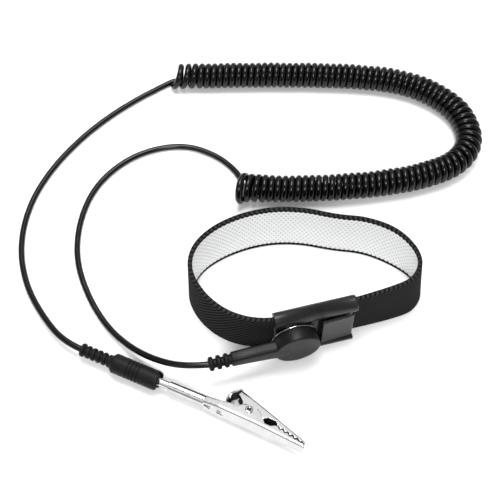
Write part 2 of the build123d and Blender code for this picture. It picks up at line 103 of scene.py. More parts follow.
PLUG_ROUTE = [
    (-0.0227, 0.1036, 0.00115),
    (-0.0223, 0.1052, 0.00115),
    (-0.0248, 0.1049, 0.00115),
    (-0.0300, 0.1031, 0.00115),
    (-0.0400, 0.0995, 0.00115),
    (-0.0535, 0.0931, 0.00115),
    (-0.0670, 0.0843, 0.00115),
    (-0.0805, 0.0722, 0.00115),
    (-0.0910, 0.0575, 0.00115),
    (-0.0968, 0.0400, 0.00115),
    (-0.0968, 0.0230, 0.0013),
    (-0.0926, 0.0080, 0.0022),
    (-0.0868, -0.0048, 0.0042),
    (-0.0813, -0.0092, 0.0042),
]
# the line between the band's two faces: x, y and how far its top edge leans outwards
BAND_ROUTE = [
    (-0.0128, -0.0219, 0.0),
    (-0.0185, -0.0219, 0.0),
    (-0.0295, -0.0170, -0.0005),
    (-0.0370, -0.0075, -0.0007),
    (-0.0398, 0.0045, -0.0004),
    (-0.0345, 0.0138, 0.0008),
    (-0.0230, 0.0193, 0.0015),
    (-0.0085, 0.0208, 0.0016),
    (0.0050, 0.0179, 0.0015),
    (0.0175, 0.0112, 0.0013),
    (0.0270, 0.0079, 0.0014),
    (0.0362, 0.0005, 0.0014),
    (0.0418, -0.0095, -0.0006),
    (0.0393, -0.0178, -0.0015),
    (0.0308, -0.0219, -0.0012),
    (0.0001, -0.0219, 0.0),
]

# ---- the plug's and clip's own axes
PLUG_HEADING = radians(-38.5)
CLIP_ROLL = radians(13)
PLUG_START = Vector(PLUG_ROUTE[-1])
ALONG = Vector((cos(PLUG_HEADING), sin(PLUG_HEADING), 0))
ACROSS = Vector((-sin(PLUG_HEADING), cos(PLUG_HEADING), 0))
UP = Vector((0, 0, 1))
CLIP_UP = UP * cos(CLIP_ROLL) + ACROSS * sin(CLIP_ROLL)
CLIP_OUT = ACROSS * cos(CLIP_ROLL) - UP * sin(CLIP_ROLL)


def mm(*lengths):
    """A place given in millimetres, in metres."""
    return Vector(lengths) * 0.001


def on_clip(s, t, w=0.0):
    """A place by millimetres along the plug, out to the clip's opening, and up its width."""
    return PLUG_START + (ALONG * s + CLIP_OUT * t + CLIP_UP * w) * 0.001


# ---- sizes and colours
def measured(name, description, default):
    """One length setting, in metres."""
    return FloatProperty(name=name, description=description, default=default, min=0, unit="LENGTH")


def angled(name, description, degrees):
    """One angle setting, given in degrees."""
    return FloatProperty(
        name=name, description=description, default=radians(degrees), unit="ROTATION")


def colour(name, description, default):
    """One colour setting."""
    return FloatVectorProperty(
        name=name, description=description, subtype="COLOR", size=4, min=0, max=1,
        default=(*default, 1.0))


class StrapSizes(bpy.types.PropertyGroup):
    """The strap's sizes that a user would change."""

    band_width: measured(
        "Band width", "Height of the elastic band on its edge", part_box("band_outer_face")[1][2])
    web_depth: measured(
        "Webbing", "How far the black webbing stands out from the middle line", 0.001)
    knit_depth: measured("Knit", "How far the white knit stands in from the middle line", 0.00062)
    selvedge: measured("Selvedge", "Width of the black edge on the band's inner side", 0.0014)
    stitch_pitch: measured("Stitch pitch", "Length of one knit stitch along the band", 0.00175)
    row_pitch: measured("Row pitch", "Height between rows of knit dots", 0.00112)
    twill_pitch: measured("Twill pitch", "Distance between the webbing's slanting ribs", 0.00125)
    cord_diameter: measured("Cord", "Diameter of the cord's jacket", 0.0023)
    coil_diameter: measured("Coil", "Outside diameter of the curly part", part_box("coil_cord")[1][2])
    coil_pitch: measured("Coil pitch", "Distance between turns where the coil is straight", 0.00257)
    turn_points: IntProperty(
        name="Points a turn", description="Control points in each turn of the coil",
        default=14, min=12)
    sheet_thick: measured("Clip sheet", "Thickness of the clip's metal", 0.00045)
    camera_distance: measured(
        "Camera distance", "From the camera to the place that it looks at", 0.3762)
    camera_height: angled("Camera elevation", "Angle of the camera above the table", 58)
    camera_side: angled("Camera azimuth", "Angle of the camera round the object", -14.5)


class StrapColours(bpy.types.PropertyGroup):
    """The strap's base colours."""

    webbing: colour("Webbing", "Black elastic webbing", (0.003, 0.003, 0.0032))
    knit: colour("Knit", "White conductive knit", (0.77, 0.775, 0.78))
    knit_dot: colour("Knit dots", "Conductive yarn showing between stitches", (0.36, 0.365, 0.37))
    plastic: colour("Hard plastic", "Buckle and snap head", (0.004, 0.004, 0.0043))
    # painted light: the lever's plastic is painted a shade lighter than the buckle's, for the light
    # on its tab
    lever: colour("Lever", "The lock lever", (0.021, 0.021, 0.0215))
    soft_plastic: colour("Soft plastic", "Strain reliefs and plug", (0.0025, 0.0025, 0.0028))
    jacket: colour("Jacket", "Cord jacket", (0.0012, 0.0012, 0.0014))
    nickel: colour("Nickel", "Bright plating", (0.54, 0.54, 0.54))
    steel: colour("Steel", "Pins and springs", (0.46, 0.46, 0.46))
    brass: colour("Brass", "The plug's cage spring", (0.33, 0.25, 0.13))
    lacquer: colour("Lacquer", "The safety resistor", (0.10, 0.26, 0.44))
    table: colour("Table", "The table top", (0.86, 0.86, 0.86))


# ---- shader expressions
class Shade:
    """One value in a material; arithmetic on it adds Math nodes."""

    def __init__(self, finish, socket):
        self.finish = finish
        self.socket = socket

    def math(self, operation, *values):
        return self.finish.node("Math", {"operation": operation}, dict(enumerate(values)))

    def __add__(self, other):
        return self.math("ADD", self, other)

    def __sub__(self, other):
        return self.math("SUBTRACT", self, other)

    def __rsub__(self, other):
        return self.math("SUBTRACT", other, self)

    def __mul__(self, other):
        return self.math("MULTIPLY", self, other)

    def __truediv__(self, other):
        return self.math("DIVIDE", self, other)

    def __rtruediv__(self, other):
        return self.math("DIVIDE", other, self)

    def __pow__(self, other):
        return self.math("POWER", self, other)

    def __rpow__(self, other):
        return self.math("POWER", other, self)

    __radd__ = __add__
    __rmul__ = __mul__

    def sine(self):
        return self.math("SINE", self)

    def part(self):
        return self.math("FRACT", self)

    def root(self):
        return self.math("SQRT", self)

    def most(self, other):
        return self.math("MAXIMUM", self, other)

    def between(self, low, high):
        """0 below low, 1 above high and a smooth step between them."""
        return self.finish.node(
            "MapRange", {"interpolation_type": "SMOOTHSTEP"},
            {"Value": self, "From Min": low, "From Max": high})


class Finish:
    """A material with one Principled shader, whose nodes come from one method."""

    def __init__(self, name, base, roughness, **constants):
        self.material = bpy.data.materials.new(name)
        self.material.use_nodes = True
        self.tree = self.material.node_tree
        self.shader = self.tree.nodes["Principled BSDF"]
        self.set("Base Color", base)
        self.set("Roughness", roughness)
        for label, value in constants.items():
            self.set(label.replace("_", " ").title().replace("Ior", "IOR"), value)

    def set(self, label, value):
        """Feeds one of the shader's sockets."""
        self.feed(self.shader.inputs[label], value)

    def feed(self, socket, value):
        """Links a socket to an expression, or sets it."""
        if isinstance(value, Shade):
            self.tree.links.new(value.socket, socket)
        else:
            socket.default_value = value

    def node(self, kind, settings=None, sockets=None, output=0):
        """Adds a shader node: its settings first, then the values or links of its sockets."""
        node = self.tree.nodes.new("ShaderNode" + kind)
        for label, value in (settings or {}).items():
            setattr(node, label, value)
        for label, value in (sockets or {}).items():
            self.feed(node.inputs[label], value)
        return Shade(self, node.outputs[output])

    def place(self):
        """Metres in the piece's own coordinates."""
        return self.node("TexCoord", output="Object")

    def stretched(self, factors):
        """Coordinates drawn out along an axis."""
        return self.node("VectorMath", {"operation": "MULTIPLY"}, {0: self.place(), 1: factors})

    def noise(self, size, detail=2.0, place=None):
        """Even noise with features of about that size in metres."""
        return self.node("TexNoise", None, {
            "Vector": place or self.place(), "Scale": 1 / size, "Detail": detail})

    def tint(self, factor, first, second):
        """Gives the surface a colour between two, by a factor."""
        self.set("Base Color", self.blend_colours(factor, first, second))

    def blend_colours(self, factor, first, second):
        """A colour between two, by a factor."""
        return self.node("Mix", {"data_type": "RGBA"}, {0: factor, 6: first, 7: second}, output=2)

    def bump(self, height, depth):
        """Raises the surface by height, where 1 is that depth in metres."""
        self.set("Normal", self.node("Bump", None, {"Height": height, "Distance": depth}))
        return self


def colours():
    return bpy.context.scene.strap_colours


def sizes():
    return bpy.context.scene.strap_sizes


def finish_once(make):
    """Keeps the material that a function makes, so that pieces share it."""
    made = {}

    def get():
        if "material" not in made:
            made["material"] = make().material
        return made["material"]

    return get


@finish_once
def webbing_finish():
    """Black elastic webbing with slanting twill ribs and fine cross threads, their raised crests
    painted lighter as a painted highlight.
    """
    finish = Finish("black webbing", colours().webbing, 0.85, specular_ior_level=0.04)
    along, height = weave_coordinates(finish)
    slant = (along + height) * (tau / sqrt(2) / sizes().twill_pitch)
    rib = slant.sine() * 0.5 + 0.5
    thread = (along * (tau / 0.00042)).sine() * (height * (tau / 0.00038)).sine() * 0.5 + 0.5
    fuzz = finish.noise(0.0006, 4)
    lift = rib * 0.6 + thread * 0.3 + fuzz * 0.2
    # colour follows the height: raised ribs and threads are painted lighter (painted highlight), with
    # random fuzz tone
    finish.tint(lift.between(0.2, 0.95), colours().webbing, (0.03, 0.03, 0.031, 1))
    return finish.bump(lift, 0.00016)


@finish_once
def knit_finish():
    """White knit with staggered rows of darker dots where the conductive yarn shows."""
    finish = Finish("white conductive knit", colours().knit, 0.75, specular_ior_level=0.3,
                    sheen_weight=0.2, sheen_roughness=0.6)
    along, height = weave_coordinates(finish)
    stitch = sizes().stitch_pitch
    row = 2 * sizes().row_pitch
    dots = None
    for shift in (0.0, 0.5):
        side = (along / stitch + shift).part() - 0.5
        rise = (height / row + shift).part() - 0.5
        reach = ((side * stitch) ** 2 + (rise * row) ** 2).root()
        dot = 1 - reach.between(0.00014, 0.00042)
        dots = dot if dots is None else dots.most(dot)
    yarn = (along * (tau / stitch * 2) + height * (tau / row * 2)).sine() * 0.5 + 0.5
    fuzz = finish.noise(0.0005, 4)
    ground = finish.blend_colours(
        yarn * 0.4 + fuzz * 0.2, colours().knit, (0.63, 0.635, 0.64, 1))
    finish.tint(dots * 0.85, ground, colours().knit_dot)
    return finish.bump(yarn * 0.3 + fuzz * 0.3 - dots, 0.00025)


def weave_coordinates(finish):
    """Metres along the band and metres up its width."""
    spots = finish.node("UVMap", {"uv_map": "weave"})
    return [finish.node("SeparateXYZ", None, {0: spots}, output=axis) for axis in (0, 1)]


def scaled(tone, share):
    """A colour with its light multiplied by a share."""
    return [share * part for part in tone[:3]] + [1.0]


def satin(name, tone, shine):
    """Satin moulded plastic, finely eroded, a little shinier where it has been handled."""
    finish = Finish(name, tone, 0.36, specular_ior_level=shine)
    grain = finish.noise(0.00035, 3)
    worn = finish.noise(0.006, 2).between(0.35, 0.7)
    finish.set("Roughness", 0.29 + worn * 0.07 + grain * 0.05)
    finish.tint(grain.between(0.3, 0.75), tone, scaled(tone, 2))
    return finish.bump(grain, 0.000022)


@finish_once
def plastic_finish():
    """The snap head's plastic."""
    return satin("satin black plastic", colours().plastic, 0.13)


@finish_once
def buckle_finish():
    """The buckle's plastic, a little glossier."""
    return satin("buckle black plastic", colours().plastic, 0.32)


@finish_once
def lit_lever_finish():
    """The lever's plastic, painted a shade lighter than the buckle's: painted light for the light
    that its tab catches.
    """
    return satin("lever plastic painted lighter", colours().lever, 0.17)


@finish_once
def soft_finish():
    """Soft matte plastic of the strain reliefs and the plug."""
    finish = Finish("soft black plastic", colours().soft_plastic, 0.5, specular_ior_level=0.15)
    grain = finish.noise(0.0003, 3)
    finish.set("Roughness", 0.42 + grain * 0.18)
    finish.tint(grain.between(0.35, 0.7), colours().soft_plastic, (0.0045, 0.0045, 0.005, 1))
    return finish.bump(grain, 0.00003)


@finish_once
def jacket_finish():
    """Glossy extruded jacket with faint smudges."""
    finish = Finish("glossy cord jacket", colours().jacket, 0.2, specular_ior_level=0.26)
    smudge = finish.noise(0.004, 3).between(0.4, 0.7)
    grain = finish.noise(0.0005, 2)
    finish.set("Roughness", 0.15 + smudge * 0.06)
    finish.tint(smudge, colours().jacket, (0.0026, 0.0026, 0.0029, 1))
    return finish.bump(grain, 0.000012)


@finish_once
def nickel_finish():
    """Bright nickel with fine rolling lines and duller patches."""
    finish = Finish("bright nickel", colours().nickel, 0.2, metallic=1.0)
    patch = finish.noise(0.005, 3).between(0.35, 0.75)
    lines = finish.noise(0.00012, 2, finish.stretched((1.0, 1.0, 0.08)))
    finish.set("Roughness", 0.15 + patch * 0.04 + lines * 0.03)
    finish.tint(patch, colours().nickel, (0.47, 0.47, 0.47, 1))
    return finish.bump(lines, 0.000004)


@finish_once
def painted_shade_finish():
    """Painted shade: dark, dull metal for the folded sheet's inner side, its holes and hollows, where
    shade falls.
    """
    finish = Finish("dark metal painted as shade", (0.05, 0.05, 0.05, 1), 0.55, metallic=1.0)
    grain = finish.noise(0.0004, 3)
    finish.set("Roughness", 0.5 + grain * 0.15)
    return finish.bump(grain, 0.00001)


def drawn_metal(name, tone, rough, direction):
    """A brushed or drawn metal with lines along one axis."""
    finish = Finish(name, tone, rough, metallic=1.0)
    lines = finish.noise(0.00015, 3, finish.stretched(direction))
    finish.set("Roughness", rough - 0.06 + lines * 0.14)
    finish.tint(lines.between(0.3, 0.7), tone, scaled(tone, 0.82))
    return finish.bump(lines, 0.00001)


@finish_once
def stainless_finish():
    """Brushed stainless steel of the skin plate."""
    return drawn_metal("brushed stainless", (0.60, 0.60, 0.59, 1), 0.32, (0.04, 1, 1))


@finish_once
def steel_finish():
    """Drawn steel wire and pins."""
    return drawn_metal("drawn steel", colours().steel, 0.3, (1, 1, 0.06))


@finish_once
def brass_finish():
    """Bare spring brass."""
    return drawn_metal("spring brass", colours().brass, 0.28, (1, 1, 0.1))


@finish_once
def resistor_finish():
    """Lacquered resistor with plain value bands across it."""
    finish = Finish("resistor lacquer", colours().lacquer, 0.25)
    across = finish.node("SeparateXYZ", None, {0: finish.place()})
    low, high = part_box("resistor_body")
    share = (across - low[0]) / (high[0] - low[0])
    bands = (share * 5).part().between(0.62, 0.68)
    ends = share.between(0.15, 0.18) - share.between(0.82, 0.85)
    finish.tint(bands * ends, colours().lacquer, (0.42, 0.25, 0.05, 1))
    return finish.bump(finish.noise(0.0008), 0.00002)


# ---- lines
def spline_object(name, points, steps, bevel=0.0):
    """A smooth NURBS line, with a route's points as its control points."""
    curve = bpy.data.curves.new(name, "CURVE")
    curve.dimensions = "3D"
    curve.resolution_u = steps
    curve.bevel_depth = bevel
    spline = curve.splines.new("NURBS")
    spline.points.add(len(points) - 1)
    for control, place in zip(spline.points, points):
        control.co = (*place, 1.0)
    spline.order_u = 3
    spline.use_endpoint_u = True
    return bpy.data.objects.new(name, curve)


def read_route(points, steps):
    """Places read from the NURBS line of a route, in order."""
    line = spline_object("route", points, steps)
    mesh = bpy.data.meshes.new_from_object(line)
    places = [vertex.co.copy() for vertex in mesh.vertices]
    curve = line.data
    bpy.data.objects.remove(line)
    bpy.data.curves.remove(curve)
    bpy.data.meshes.remove(mesh)
    return places


def spaced(places, gap):
    """The places that are at least a gap from the last one kept, and the end."""
    kept = [places[0]]
    for place in places:
        if (place - kept[-1]).length >= gap:
            kept.append(place)
    if (places[-1] - kept[-1]).length < gap / 2:
        kept.pop()
    return kept + [places[-1]]


def run_lengths(places):
    """How far along the line each place is."""
    totals = [0.0]
    for before, after in zip(places, places[1:]):
        totals.append(totals[-1] + (after - before).length)
    return totals


def at_measure(measures, values, measure):
    """The value at a measure, between the two nearest that are known."""
    index = min(max(bisect_right(measures, measure) - 1, 0), len(measures) - 2)
    span = measures[index + 1] - measures[index]
    share = min(max((measure - measures[index]) / span, 0.0), 1.0)
    return values[index] * (1 - share) + values[index + 1] * share


def directions(places):
    """The line's direction at each place."""
    ends = [places[0]] + list(places) + [places[-1]]
    return [(after - before).normalized() for before, after in zip(ends, ends[2:])]


def fade(value):
    """1 at 0 falling smoothly to 0 at 1."""
    value = min(max(value, 0.0), 1.0)
    return 1 - value * value * (3 - 2 * value)


# ---- meshes
class Shape:
    """The places and faces of one piece, gathered from skins, prisms and turned profiles."""

    def __init__(self):
        self.places = []
        self.faces = []
        self.lined = []

    def skin(self, rows, wrap=True, caps=True, lined=None):
        """Covers rows of equally many places, each closed on itself when wrap is set.

        The last argument tells from a row and a column which faces take the piece's second material,
        the dark metal of painted shade.
        """
        first = len(self.places)
        width = len(rows[0])
        for row in rows:
            self.places.extend(row)
        for row in range(len(rows) - 1):
            start = first + row * width
            for column in range(width if wrap else width - 1):
                a = start + column
                b = start + (column + 1) % width
                if lined and lined(row, column):
                    self.lined.append(len(self.faces))
                self.faces.append((a, b, b + width, a + width))
        if caps and wrap:
            last = first + (len(rows) - 1) * width
            self.faces.append(tuple(range(first + width - 1, first - 1, -1)))
            self.faces.append(tuple(range(last, last + width)))
        return self

    def turned(self, profile, origin, axis, sides=48, start=0.0, stretch=None, **skin):
        """Turns a profile of (along, radius) in millimetres round an axis."""
        side = axis.orthogonal().normalized()
        other = axis.cross(side)
        rows = []
        for along, radius in profile:
            row = []
            for step in range(sides):
                angle = start + tau * step / sides
                shift = stretch(along, angle) if stretch else 0.0
                out = side * cos(angle) + other * sin(angle)
                row.append(origin + (axis * (along + shift) + out * radius) * 0.001)
            rows.append(row)
        return self.skin(rows, **skin)

    def prism(self, outline, place_low, place_high):
        """A prism between an outline's places at two ends."""
        return self.skin([[place_low(*point) for point in outline],
                          [place_high(*point) for point in outline]])

    def mesh(self, name, material):
        """The places and faces as a mesh with its first material."""
        mesh = bpy.data.meshes.new(name)
        mesh.from_pydata([tuple(place) for place in self.places], [], self.faces)
        mesh.materials.append(material)
        return mesh

    def build(self, name, material, body, replaced=(), bevel=0.0, rough=35):
        """Makes the piece, smooth but for its edges, and lets it ride on its body."""
        mesh = self.mesh(name, material)
        if self.lined:
            # the marked faces take the dark metal that paints shade
            mesh.materials.append(painted_shade_finish())
            for index in self.lined:
                mesh.polygons[index].material_index = 1
        face_outwards(mesh, merge=1e-7)
        piece = bpy.data.objects.new(name, mesh)
        return settle(piece, body, replaced, bevel, rough)


def face_outwards(mesh, merge=0.0):
    """Merges places closer than a distance and turns every face outwards."""
    work = bmesh.new()
    work.from_mesh(mesh)
    if merge:
        bmesh.ops.remove_doubles(work, verts=work.verts, dist=merge)
    bmesh.ops.recalc_face_normals(work, faces=work.faces)
    work.to_mesh(mesh)
    work.free()


def settle(piece, body, replaced=(), bevel=0.0, rough=35):
    """Gives a piece its softened edges and body, and hides the parts that it replaces."""
    bpy.context.scene.collection.objects.link(piece)
    if piece.type == "MESH":
        piece.data.shade_smooth()
        if bevel:
            soften(piece, bevel, rough)
        else:
            piece.data.set_sharp_from_angle(angle=radians(rough))
    if body:
        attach(piece, body)
    if replaced:
        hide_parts(*replaced)
    return piece


def soften(piece, width, rough):
    """Rounds the edges sharper than an angle by modifiers, so that they catch the light."""
    rounding = piece.modifiers.new("edges", "BEVEL")
    rounding.width = width
    rounding.segments = 2
    rounding.limit_method = "ANGLE"
    rounding.angle_limit = radians(rough)
    shading = piece.modifiers.new("shading", "WEIGHTED_NORMAL")
    shading.keep_sharp = False


def arc(centre, radius, start, end, steps):
    """Points of an arc in millimetres, its angles in degrees."""
    turns = [radians(start + (end - start) * step / steps) for step in range(steps + 1)]
    return [(centre[0] + radius * cos(turn), centre[1] + radius * sin(turn)) for turn in turns]


def ribs(start, pitch, count, rib, neck, width, first=None):
    """A ribbed sleeve's profile: round ribs with short straight sides standing on a neck."""
    foot = 0.12
    straight = 0.25
    half = width / 2
    profile = []
    for index in range(count):
        radius = first if first and index == 0 else rib
        middle = start + index * pitch + half
        profile.append((middle - half - foot, neck))
        for step in range(9):
            turn = pi * step / 8
            swell = (radius - neck - straight) * sin(turn) ** 0.6
            profile.append((middle - cos(turn) * half, neck + straight + swell))
        profile.append((middle + half + foot, neck))
    return profile


# ---- cord
COIL_SWELL = 0.08  # how much thicker the jacket is where it is wound
SWELL_RUN = 0.01  # the length over which it thickens
START_LOOSE = 0.00028  # added to the pitch of the first turns
START_TIGHT = 0.0018  # taken from the pitch over the same length of the very start
END_LOOSE = 0.0008  # added to the pitch at the last turn
START_RUN = 0.008  # how far from the start the turns stay looser
END_RUN = 0.004  # the length over which they loosen again towards the end
RING_TURNS = 1.2  # turns in the larger first ring
RING_GROWTH = 0.18  # how much larger that ring is
RING_SHIFT = 0.0006  # how far it stands to the side
FLARE = 0.1  # how much larger the turns after it are, over the first six
UNEVEN = 0.00005  # how much one turn's radius differs from the next
START_TILT = 0.00135
END_TILT = 0.0011
ROUTE_GAP = 0.0006  # between the places that the coil's route is read at
CORD_GAP = 0.0008  # between the jacket's rings
CLEARANCE = 1.04  # of a cord's diameter, between turns on a bend's inner side


def coil_points():
    """The curly part's control points, wound left-handed about the coil's route.

    The first turn is a larger, tilted ring, the turns at both ends fan out, and round the bend
    the turns stay a cord apart on its inner side.
    """
    size = sizes()
    cord = size.cord_diameter
    radius = (size.coil_diameter - cord) / 2
    axis = spaced(read_route(COIL_ROUTE, 48), ROUTE_GAP)
    measures = run_lengths(axis)
    headings = directions(axis)
    length = measures[-1]
    turns = [0.0]
    for index in range(1, len(axis)):
        run = measures[index] - measures[index - 1]
        bend = headings[index - 1].angle(headings[index]) / run
        pitch = max(size.coil_pitch, CLEARANCE * cord / (1 - radius * bend))
        pitch += START_LOOSE * fade((measures[index] - START_RUN / 2) / START_RUN)
        pitch -= START_TIGHT * fade(measures[index] / START_TIGHT)
        pitch += END_LOOSE * exp(-(length - measures[index]) / END_RUN)
        turns.append(turns[-1] + run / pitch)
    count = round(turns[-1])
    turns = [turn * count / turns[-1] for turn in turns]
    inset = cos(pi / size.turn_points)
    points = []
    for step in range(1, count * size.turn_points):
        turn = step / size.turn_points
        left = count - turn
        phase = tau * turn
        distance = at_measure(turns, measures, turn)
        place = at_measure(measures, axis, distance)
        heading = at_measure(measures, headings, distance).normalized()
        side = heading.cross(UP)
        ring = fade(turn / RING_TURNS)
        wound = radius / inset * (1 + RING_GROWTH * ring + FLARE * fade(turn / 6))
        wound += UNEVEN * sin(7.3 * turn)
        bulge = START_TILT * fade(turn / 4) * cos(phase - 2.2)
        fan_out = END_TILT * fade(left / 3.5) * (1 + cos(phase))
        centre = place + heading * (fan_out - bulge) + side * RING_SHIFT * ring
        centre.z = cord / 2 + wound * inset
        points.append(centre + side * sin(phase) * wound - UP * cos(phase) * wound)
    return points


def tube(shape, centres, radii, sides):
    """A round tube whose rings don't twist from one to the next."""
    side = UP
    ring = [tau * step / sides for step in range(sides)]
    rows = []
    for centre, heading, radius in zip(centres, directions(centres), radii):
        side = (side - heading * side.dot(heading)).normalized()
        other = heading.cross(side)
        rows.append([centre + (side * cos(turn) + other * sin(turn)) * radius for turn in ring])
    shape.skin(rows)


def build_cord():
    """The whole lead, head to plug, as one jacket."""
    size = sizes()
    route = HEAD_ROUTE + [tuple(point) for point in coil_points()] + PLUG_ROUTE
    centres = spaced(read_route(route, 10), CORD_GAP)
    measures = run_lengths(centres)
    first = run_lengths(read_route(HEAD_ROUTE, 10))[-1]
    last = measures[-1] - run_lengths(read_route(PLUG_ROUTE, 10))[-1]
    radii = []
    for run in measures:
        wound = fade((first - run) / SWELL_RUN) * fade((run - last) / SWELL_RUN)
        radii.append(size.cord_diameter / 2 * (1 + COIL_SWELL * wound))
    shape = Shape()
    tube(shape, centres, radii, 14)
    lead = shape.build("lead_cord", jacket_finish(), None, rough=60)
    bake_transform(lead)
    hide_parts("head_lead", "coil_cord", "plug_lead")
    return lead, centres


class WRISTSTRAP_OT_cord(bpy.types.Operator):
    bl_idname = "wrist_strap.cord"
    bl_label = "Cord"

    def execute(self, context):
        lead, centres = build_cord()
        round(run_lengths(centres)[-1], 2)
        return {"FINISHED"}


# ---- band
LOBE_DEPTH = 0.0004  # how far the selvedge's lobes swing
CREST = 0.0001  # how far the rim rises and falls with them


def band_lines():
    """The band's middle line: places at its bottom and top edges and its outward side."""
    flat = [Vector((x, y, 0)) for x, y, _ in BAND_ROUTE]
    outward = [heading.cross(UP) * -1 for heading in directions(flat)]
    leaning = [side * lean for side, (_, _, lean) in zip(outward, BAND_ROUTE)]
    rims = [read_route([place + lean * way for place, lean in zip(flat, leaning)], 64)
            for way in (-1, 1)]
    middle = [(low + high) / 2 for low, high in zip(*rims)]
    measures = run_lengths(middle)
    count = round(measures[-1] / (sizes().stitch_pitch / 6))
    stations = []
    for step in range(count + 1):
        measure = measures[-1] * step / count
        stations.append((measure, *(at_measure(measures, rim, measure) for rim in rims)))
    headings = directions([(low + high) / 2 for _, low, high in stations])
    return [(measure, low, high, heading.cross(UP) * -1)
            for (measure, low, high), heading in zip(stations, headings)]


def lobe(measure):
    """The stitches' scalloped wave along the band, steeper on one side."""
    share = (measure / sizes().stitch_pitch) % 1
    return 0.5 - 0.5 * cos(tau * share ** 0.8)


def webbing_section(measure):
    """The black webbing's closed section: outer face, both rims and the two selvedges."""
    size = sizes()
    out = size.web_depth
    inn = size.knit_depth + 0.00004
    width = size.band_width
    crest = CREST * lobe(measure + size.stitch_pitch / 2)
    edge = size.selvedge - LOBE_DEPTH * lobe(measure)
    rim = [(out, 0.0005), (out * 0.93, 0.00022), (out * 0.7, 0.00003), (out * 0.3, 0.0),
           (-inn * 0.15, 0.0), (-inn * 0.7, 0.00008), (-inn, 0.0003), (-inn * 1.04, edge * 0.6),
           (-inn, edge - 0.0002), (-inn * 0.75, edge), (-0.00004, edge + 0.00005)]
    low = [(depth, height + (crest if height < 0.0001 else 0.0)) for depth, height in rim]
    top = [(depth, width - height) for depth, height in reversed(low)]
    outer = [(out, width * share / 10) for share in range(9, 0, -1)]
    return low + top + outer


def knit_section(measure):
    """The white knit's closed section, its edges tucked under the selvedges' lobes."""
    size = sizes()
    inn = size.knit_depth
    edge = size.selvedge - LOBE_DEPTH * lobe(measure) + 0.00002
    low = [(-0.00006, edge + 0.0002), (-inn * 0.6, edge), (-inn * 0.9, edge + 0.00016),
           (-inn * 1.02, edge + 0.0006)]
    middle = [(-inn * 1.05, size.band_width * share / 8) for share in range(1, 8)]
    top = [(depth, size.band_width - height) for depth, height in reversed(low)]
    return low + middle + top


def band_face(name, section, material, replaced):
    """One face of the band, woven as a closed strip along the middle line."""
    shape = Shape()
    rows = []
    spots = []
    width = sizes().band_width
    lines = band_lines()
    for measure, low, high, outward in lines:
        row = []
        for depth, height in section(measure):
            place = low.lerp(high, height / width) + outward * depth
            place.z = height
            row.append(place)
            spots.append((measure, height))
        rows.append(row)
    shape.skin(rows)
    mesh = shape.mesh(name, material)
    weave = mesh.uv_layers.new(name="weave")
    for loop in mesh.loops:
        weave.data[loop.index].uv = spots[loop.vertex_index]
    face_outwards(mesh)
    piece = bpy.data.objects.new(name, mesh)
    settle(piece, "wristband", replaced, rough=50)
    return piece


class WRISTSTRAP_OT_band(bpy.types.Operator):
    """Weaves the black webbing and the white knit inside it"""

    bl_idname = "wrist_strap.band"
    bl_label = "Band"

    def execute(self, context):
        web = band_face("band_webbing", webbing_section, webbing_finish(),
                        ("band_outer_face",))
        band_face("band_knit", knit_section, knit_finish(),
                  ("band_inner_face",))
        return {"FINISHED"}


# ---- buckle
RAIL = (-22.7, 18.6)
RAIL_RADIUS = 2.95
WALL_FRONT = -24.2
WALL_BACK = -23.0
SLOT_BACK = -21.2
SLOT_TOP = 19.3
WALL_RIGHT = -0.3
FLANGE_FRONT = -27.0
FLANGE_TOP = 1.4
FLANGE_RIGHT = 12.4
LEVER_PIN = (11.0, -24.7)
PIN_RADIUS = 1.5
TAB_END = 0.7
TAB_THICK = 1.2
TAB_BOTTOM = 1.7
TAB_TOP = 16.0


def rail_outline(*foot):
    """The buckle's section (y, z): from the foot, round the rail and down the band's slot."""
    round_rail = arc(RAIL, RAIL_RADIUS, 239.4, -59.4, 40)
    return [*foot, *round_rail, (SLOT_BACK, SLOT_TOP), (WALL_BACK, SLOT_TOP)]


def build_buckle():
    """The moulded buckle: rail over the band's top, front wall on the left and foot flange."""
    low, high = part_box("buckle_body")
    left, right = low[0] * 1000, high[0] * 1000
    shape = Shape()

    def at(x):
        return lambda y, z: mm(x, y, z)

    shape.prism(rail_outline((WALL_BACK, 0.02), (WALL_FRONT, 0.02)), at(left), at(WALL_RIGHT))
    rail_only = rail_outline((WALL_BACK, 15.67))
    middle_y, middle_z = RAIL
    rounded_end = ((WALL_RIGHT, 1.0), (right - 1.3, 1.0), (right - 0.8, 0.97), (right - 0.5, 0.88))
    shape.skin([[mm(x, middle_y + (y - middle_y) * scale, middle_z + (z - middle_z) * scale)
                 for y, z in rail_only] for x, scale in rounded_end])
    flange = [(FLANGE_FRONT, 0.0), (WALL_BACK, 0.0), (WALL_BACK, FLANGE_TOP),
              (FLANGE_FRONT + 0.4, FLANGE_TOP), (FLANGE_FRONT, FLANGE_TOP - 0.35)]
    shape.prism(flange, at(left + 0.02), at(FLANGE_RIGHT))
    bead = arc((WALL_FRONT + 0.1, left + 0.5), 0.85, 0, 360, 20)[:-1]
    shape.prism(bead, lambda y, x: mm(x, y, 0.3), lambda y, x: mm(x, y, 16.5))
    shape.build("buckle", buckle_finish(), "wristband",
                ("buckle_body",), bevel=0.00022)


def build_lever():
    """The lock lever: a flat tab with a knuckle round its pin."""
    shape = Shape()
    pin_x, pin_y = LEVER_PIN
    face = pin_y - PIN_RADIUS
    tab = [(pin_x, face), (TAB_END, face - 0.5), (TAB_END, face + 0.7), (pin_x, face + TAB_THICK)]
    shape.prism(tab, lambda x, y: mm(x, y, TAB_BOTTOM), lambda x, y: mm(x, y, TAB_TOP))
    knuckle = arc(LEVER_PIN, PIN_RADIUS, 0, 360, 32)[:-1]
    shape.prism(knuckle, lambda x, y: mm(x, y, 1.72), lambda x, y: mm(x, y, 16.3))
    shape.build("lever", lit_lever_finish(), "lock_lever",
                ("lock_lever",), bevel=0.00018)


class WRISTSTRAP_OT_buckle(bpy.types.Operator):
    """Moulds the buckle and its lock lever"""

    bl_idname = "wrist_strap.buckle"
    bl_label = "Buckle"

    def execute(self, context):
        build_buckle()
        build_lever()
        return {"FINISHED"}


